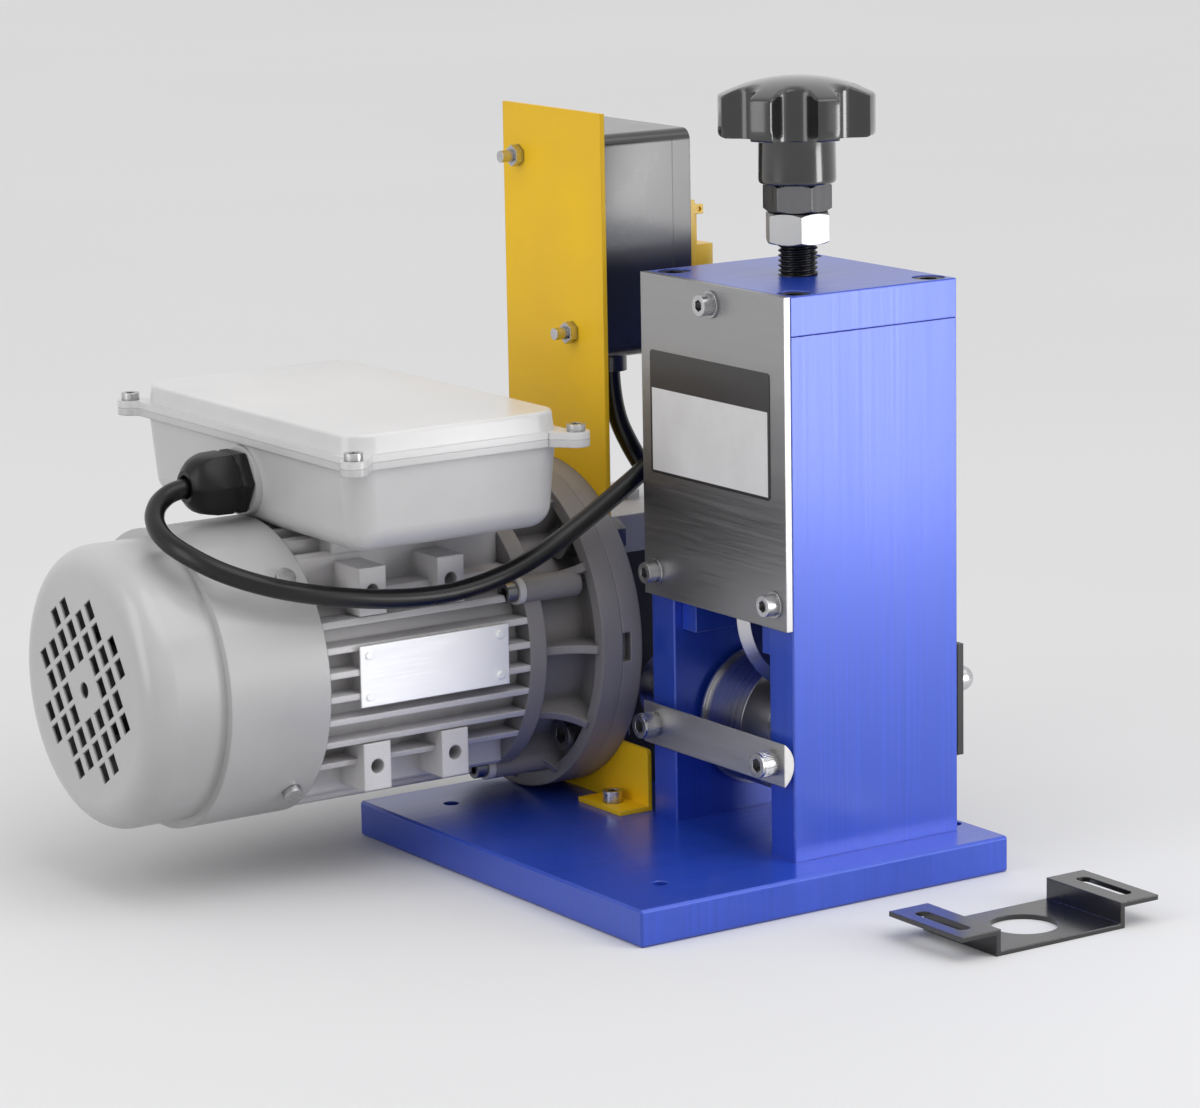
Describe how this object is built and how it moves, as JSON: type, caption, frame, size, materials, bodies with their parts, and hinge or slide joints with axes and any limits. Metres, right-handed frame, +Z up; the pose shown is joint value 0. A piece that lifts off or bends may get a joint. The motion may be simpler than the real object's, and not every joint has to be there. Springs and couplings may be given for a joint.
{
  "type": "bench wire stripper",
  "caption": "Motor-driven bench wire stripper: a round blade over a grooved roller in a plate tower, set by a star knob, with a worm gearbox, finned motor and switch box.",
  "frame": {"origin": "centre of the base plate's underside", "axes": "+Z up, +X from the exit side to the feed side along the motor's axis, +Y from the tower to the motor"},
  "size_m": [0.317, 0.3804, 0.3211],
  "materials": {
    "blue_paint": "gloss",
    "black_steel": "satin",
    "brushed_stainless": "brushed",
    "bright_screw": "bright",
    "bright_steel": "ground",
    "black_paint": "satin",
    "bronze": "machined",
    "blade_steel": "ground",
    "roller_steel": "turned",
    "zinc": "plated",
    "gloss_black": "gloss",
    "light_aluminium": "cast",
    "motor_grey": "satin",
    "yellow_paint": "powder coat",
    "motor_aluminium": "sprayed",
    "plate_aluminium": "satin",
    "lamination_steel": "laminated",
    "cover_grey": "satin",
    "black_plastic": "matte",
    "box_grey": "satin",
    "cable_black": "satin",
    "switch_black": "soft gloss",
    "yellow_plastic": "gloss",
    "green_plastic": "gloss",
    "red_plastic": "gloss",
    "bracket_black": "satin"
  },
  "bodies": {
    "frame": {"base_plate": "blue_paint", "near_side_plate": "blue_paint", "far_side_plate": "blue_paint", "tower_cap": "blue_paint", "base_screws": "black_steel", "cap_screws": "black_steel", "guard_plate": "brushed_stainless", "guard_screws": "bright_screw", "exit_bar": "bright_steel", "exit_bar_screws": "bright_screw", "feed_plate": "black_paint", "feed_plate_screws": "bright_screw", "guide_keys": "bright_steel", "drive_bearings": "bright_steel", "gearbox_housing": "black_paint", "gearbox_cover": "light_aluminium", "gearbox_cover_screws": "bright_screw", "gearbox_flange": "motor_grey", "motor_bracket": "yellow_paint", "foot_screw": "bright_screw", "flange_bolts": "bright_screw", "front_end_shield": "motor_grey", "shield_screws": "black_steel", "motor_housing": "motor_aluminium", "nameplate": "plate_aluminium", "stator": "lamination_steel", "motor_bearings": "bright_steel", "rear_end_shield": "motor_aluminium", "fan_cover": "cover_grey", "fan_cover_screws": "bright_screw", "terminal_box": "box_grey", "terminal_box_lid": "box_grey", "lid_screws": "bright_screw", "cable_gland": "black_plastic", "motor_cable": "cable_black", "control_box": "switch_black", "control_box_lid": "switch_black", "control_box_bolts": "bright_screw", "switch_frame": "yellow_plastic", "loose_bracket": "bracket_black"},
    "carriage": {"blade_carriage": "black_steel", "carriage_bushes": "bronze", "thrust_plate": "bright_steel"},
    "blade": {"blade_shaft": "bright_steel", "blade_wheel": "blade_steel", "blade_collars": "bright_steel"},
    "adjuster": {"adjusting_screw": "black_steel", "jam_nut": "black_steel", "knob": "gloss_black"},
    "lock": {"lock_nut": "zinc"},
    "drive": {"drive_roller": "roller_steel", "drive_shaft": "bright_steel", "worm_wheel": "bronze"},
    "rotor": {"motor_shaft": "bright_steel", "rotor_core": "lamination_steel", "worm": "bright_steel", "cooling_fan": "black_plastic"},
    "start": {"start_button": "green_plastic"},
    "stop": {"stop_button": "red_plastic"},
    "flap": {"switch_flap": "yellow_plastic"}
  },
  "joints": [
    {"name": "carriage_lift", "type": "slide", "parent": "frame", "child": "carriage", "axis": [0, 0, 1], "range_m": [-0.00167, 0.022]},
    {"name": "blade_spin", "type": "hinge", "parent": "carriage", "child": "blade", "pos_m": [0.037, -0.043, 0.1085], "axis": [0, 1, 0], "continuous": true},
    {"name": "knob_turn", "type": "hinge", "parent": "carriage", "child": "adjuster", "pos_m": [0.037, -0.037, 0.24], "axis": [0, 0, 1], "range_deg": [-300, 3960]},
    {"name": "lock_nut_run", "type": "slide", "parent": "adjuster", "child": "lock", "axis": [0, 0, 1], "range_m": [-0.011, 0]},
    {"name": "roller_spin", "type": "hinge", "parent": "frame", "child": "drive", "pos_m": [0.037, -0.043, 0.0555], "axis": [0, 1, 0], "continuous": true},
    {"name": "motor_spin", "type": "hinge", "parent": "frame", "child": "rotor", "pos_m": [-0.1, 0.0884, 0.0855], "axis": [1, 0, 0], "continuous": true},
    {"name": "start_push", "type": "slide", "parent": "frame", "child": "start", "axis": [-1, 0, 0], "range_m": [0, 0.0015], "stiffness_N_per_m": 400, "springref_m": -0.001},
    {"name": "stop_push", "type": "slide", "parent": "frame", "child": "stop", "axis": [-1, 0, 0], "range_m": [0, 0.0015], "stiffness_N_per_m": 400, "springref_m": -0.001},
    {"name": "flap_lift", "type": "hinge", "parent": "frame", "child": "flap", "pos_m": [0.0476, 0.08, 0.259], "axis": [0, -1, 0], "range_deg": [0, 110]}
  ],
  "couplings": [
    {"joint": "knob_turn", "follows": "carriage_lift", "rad_per_m": 3141.6},
    {"joint": "roller_spin", "follows": "motor_spin", "ratio": -0.05}
  ]
}
